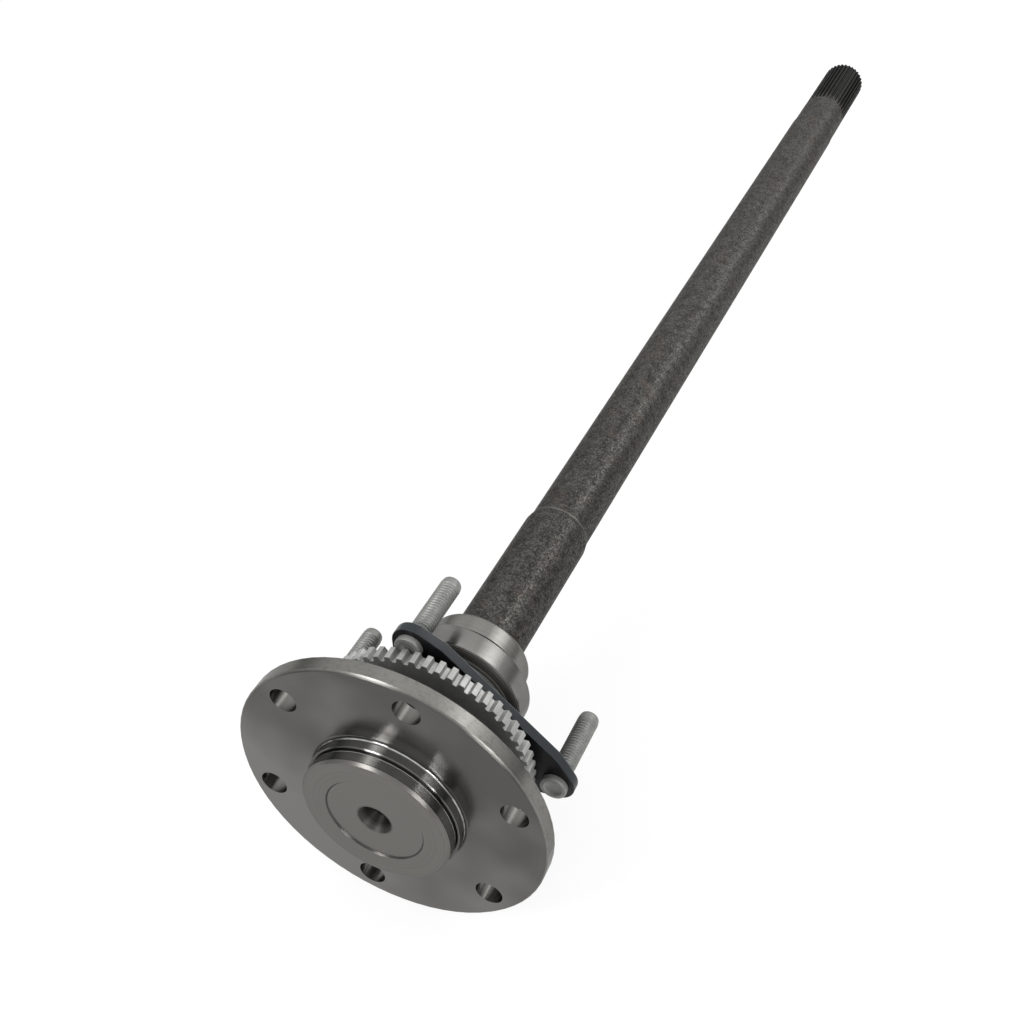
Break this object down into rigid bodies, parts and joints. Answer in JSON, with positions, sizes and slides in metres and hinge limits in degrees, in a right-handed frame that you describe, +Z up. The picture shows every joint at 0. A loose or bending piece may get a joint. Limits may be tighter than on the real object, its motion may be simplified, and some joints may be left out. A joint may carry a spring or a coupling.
{
  "type": "axle shaft",
  "caption": "Rear axle shaft with drilled wheel flange, hub pilot, toothed sensor ring, loose retainer plate with pressed bolts, shaft seal, tapered roller bearing and splined end",
  "frame": {"origin": "centre of the wheel bolt circle, on the flange face that the wheel sits on", "axes": "+Y along the axle from the wheel face to the splined end, +Z up as installed, +X across the vehicle's travel"},
  "size_m": [0.1655, 0.9033, 0.1654],
  "materials": {
    "axle_steel": "forged, turned at flange and seats, scale left on the shaft",
    "ring_steel": "sintered steel, plain",
    "plate_coating": "black dip coating on pressed steel",
    "bolt_zinc": "matt zinc flake",
    "seal_rubber": "moulded, matt",
    "spring_steel": "drawn wire",
    "race_steel": "hardened and ground",
    "cage_steel": "pressed sheet, phosphated",
    "roller_steel": "ground and honed",
    "collar_steel": "turned"
  },
  "bodies": {
    "axle": {"axle_shaft": "axle_steel", "tone_ring": "ring_steel", "bearing_cone": "race_steel", "retaining_collar": "collar_steel"},
    "outer_ring": {"bearing_cup": "race_steel"},
    "roller_set": {"bearing_cage": "cage_steel", "bearing_roller_1": "roller_steel", "bearing_roller_2": "roller_steel", "bearing_roller_3": "roller_steel", "bearing_roller_4": "roller_steel", "bearing_roller_5": "roller_steel", "bearing_roller_6": "roller_steel", "bearing_roller_7": "roller_steel", "bearing_roller_8": "roller_steel", "bearing_roller_9": "roller_steel", "bearing_roller_10": "roller_steel", "bearing_roller_11": "roller_steel", "bearing_roller_12": "roller_steel", "bearing_roller_13": "roller_steel", "bearing_roller_14": "roller_steel", "bearing_roller_15": "roller_steel", "bearing_roller_16": "roller_steel", "bearing_roller_17": "roller_steel", "bearing_roller_18": "roller_steel"},
    "seal": {"seal_body": "seal_rubber", "seal_spring": "spring_steel"},
    "retainer": {"retainer_plate": "plate_coating", "retainer_bolts": "bolt_zinc"}
  },
  "joints": [
    {"name": "cup_spin", "type": "hinge", "parent": "axle", "child": "outer_ring", "pos_m": [0, 0.07905, 0], "axis": [0, 1, 0], "continuous": true},
    {"name": "cage_spin", "type": "hinge", "parent": "axle", "child": "roller_set", "pos_m": [0, 0.07905, 0], "axis": [0, 1, 0], "continuous": true},
    {"name": "seal_spin", "type": "hinge", "parent": "axle", "child": "seal", "pos_m": [0, 0.0665, 0], "axis": [0, 1, 0], "continuous": true},
    {"name": "retainer_spin", "type": "hinge", "parent": "axle", "child": "retainer", "pos_m": [0.00413, 0.0534, -0.00528], "axis": [0, 1, 0], "continuous": true}
  ],
  "couplings": [
    {"joint": "cage_spin", "follows": "cup_spin", "ratio": 0.568}
  ]
}
